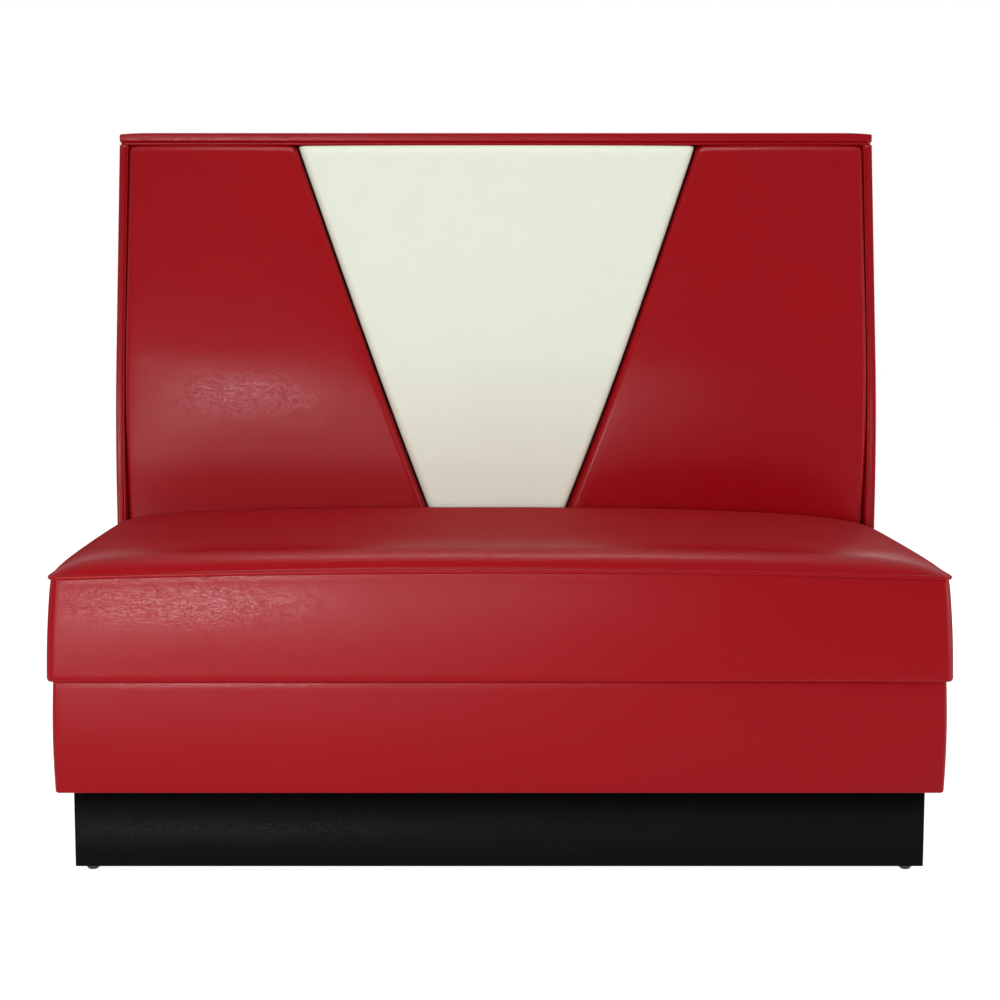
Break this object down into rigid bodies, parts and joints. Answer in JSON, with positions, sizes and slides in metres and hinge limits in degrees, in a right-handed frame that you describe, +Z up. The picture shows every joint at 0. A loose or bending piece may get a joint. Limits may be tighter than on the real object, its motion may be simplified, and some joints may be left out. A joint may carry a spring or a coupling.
{
  "type": "restaurant booth bench",
  "caption": "Free-standing single booth bench: padded vinyl back with a contrasting V panel, crowned lift-off seat cushion with piping, upholstered base box and recessed kick.",
  "frame": {"origin": "on the floor, at the middle of the bench's outline seen from above", "axes": "+Z up; the sitter faces -Y; +X runs along the bench, to the right as seen from the front"},
  "size_m": [1.2192, 0.6096, 1.0668],
  "materials": {
    "red_vinyl": "glossy grained vinyl",
    "cream_vinyl": "glossy grained vinyl",
    "black_vinyl": "satin vinyl",
    "plywood": "raw",
    "timber": "raw",
    "foam": "open foam",
    "webbing": "woven",
    "dust_cloth": "woven",
    "zinc_steel": "zinc plated",
    "nylon": "moulded"
  },
  "bodies": {
    "base_and_back": {"back_bolts": "zinc_steel", "back_left_end_panel": "plywood", "back_left_end_vinyl": "red_vinyl", "back_left_end_welt": "red_vinyl", "back_left_rib": "plywood", "back_low_rail": "plywood", "back_middle_rail": "plywood", "back_rear_panel": "plywood", "back_rear_vinyl": "red_vinyl", "back_right_end_panel": "plywood", "back_right_end_vinyl": "red_vinyl", "back_right_end_welt": "red_vinyl", "back_right_rib": "plywood", "back_sill": "plywood", "back_top_rail": "plywood", "base_floor_panel": "plywood", "base_front_board": "plywood", "base_left_board": "plywood", "base_middle_board": "plywood", "base_rear_board": "plywood", "base_rear_cleat": "timber", "base_right_board": "plywood", "base_vinyl_wrap": "red_vinyl", "cap_board": "plywood", "cap_vinyl": "red_vinyl", "cap_welt": "red_vinyl", "centre_pad_board": "plywood", "centre_pad_cover": "cream_vinyl", "centre_pad_foam": "foam", "left_pad_board": "plywood", "left_pad_cover": "red_vinyl", "left_pad_foam": "foam", "plinth_cross_rail": "timber", "plinth_front_rail": "timber", "plinth_left_rail": "timber", "plinth_rear_rail": "timber", "plinth_right_rail": "timber", "plinth_vinyl_band": "black_vinyl", "right_pad_board": "plywood", "right_pad_cover": "red_vinyl", "right_pad_foam": "foam", "tee_nuts": "zinc_steel", "wood_screws": "zinc_steel"},
    "seat": {"seat_boxing": "red_vinyl", "seat_centre_rail": "timber", "seat_cross_straps": "webbing", "seat_dust_cloth": "dust_cloth", "seat_foam": "foam", "seat_front_rail": "timber", "seat_left_rail": "timber", "seat_locating_blocks": "timber", "seat_long_straps": "webbing", "seat_rear_rail": "timber", "seat_right_rail": "timber", "seat_top_cover": "red_vinyl", "seat_welt": "red_vinyl"},
    "front_left_leveller_body": {"front_left_leveller": "nylon"},
    "front_right_leveller_body": {"front_right_leveller": "nylon"},
    "rear_left_leveller_body": {"rear_left_leveller": "nylon"},
    "rear_right_leveller_body": {"rear_right_leveller": "nylon"}
  },
  "joints": [
    {"name": "seat_lift", "type": "slide", "parent": "base_and_back", "child": "seat", "axis": [0, -0.342, 0.9397], "range_m": [0, 0.15]},
    {"name": "front_left_levelling", "type": "slide", "parent": "base_and_back", "child": "front_left_leveller_body", "axis": [0, 0, -1], "range_m": [-0.001, 0.019]},
    {"name": "front_right_levelling", "type": "slide", "parent": "base_and_back", "child": "front_right_leveller_body", "axis": [0, 0, -1], "range_m": [-0.001, 0.019]},
    {"name": "rear_left_levelling", "type": "slide", "parent": "base_and_back", "child": "rear_left_leveller_body", "axis": [0, 0, -1], "range_m": [-0.001, 0.019]},
    {"name": "rear_right_levelling", "type": "slide", "parent": "base_and_back", "child": "rear_right_leveller_body", "axis": [0, 0, -1], "range_m": [-0.001, 0.019]}
  ]
}
